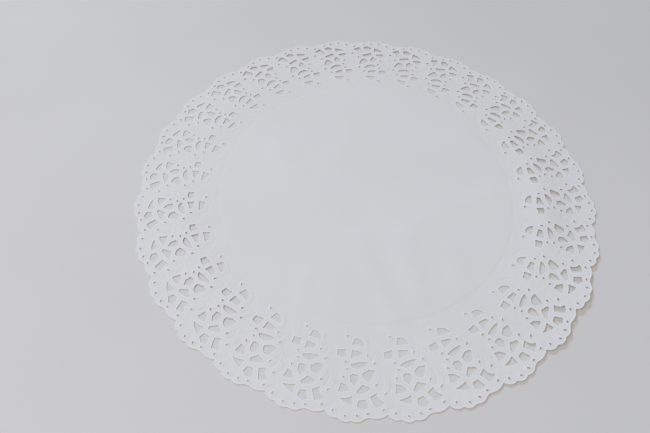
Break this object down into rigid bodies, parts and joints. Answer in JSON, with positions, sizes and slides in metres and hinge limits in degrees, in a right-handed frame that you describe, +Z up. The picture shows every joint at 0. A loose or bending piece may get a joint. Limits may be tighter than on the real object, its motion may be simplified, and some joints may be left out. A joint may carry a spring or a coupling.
{
  "type": "lace doily of embossed paper",
  "caption": "Round flat white paper lace doily with a plain centre, a die-cut openwork border and a scalloped edge, its border lying a little lifted.",
  "frame": {"origin": "on the surface it lies on, under the centre of the round sheet", "axes": "+Z up through the sheet, +Y towards its far edge, +X to the right, where the border stands highest; the lace repeats turn clockwise from +Y"},
  "size_m": [0.3034, 0.3034, 0.0035],
  "materials": {
    "paper": "matte, embossed, cool white"
  },
  "bodies": {
    "root": {"doily": "paper"}
  },
  "joints": []
}
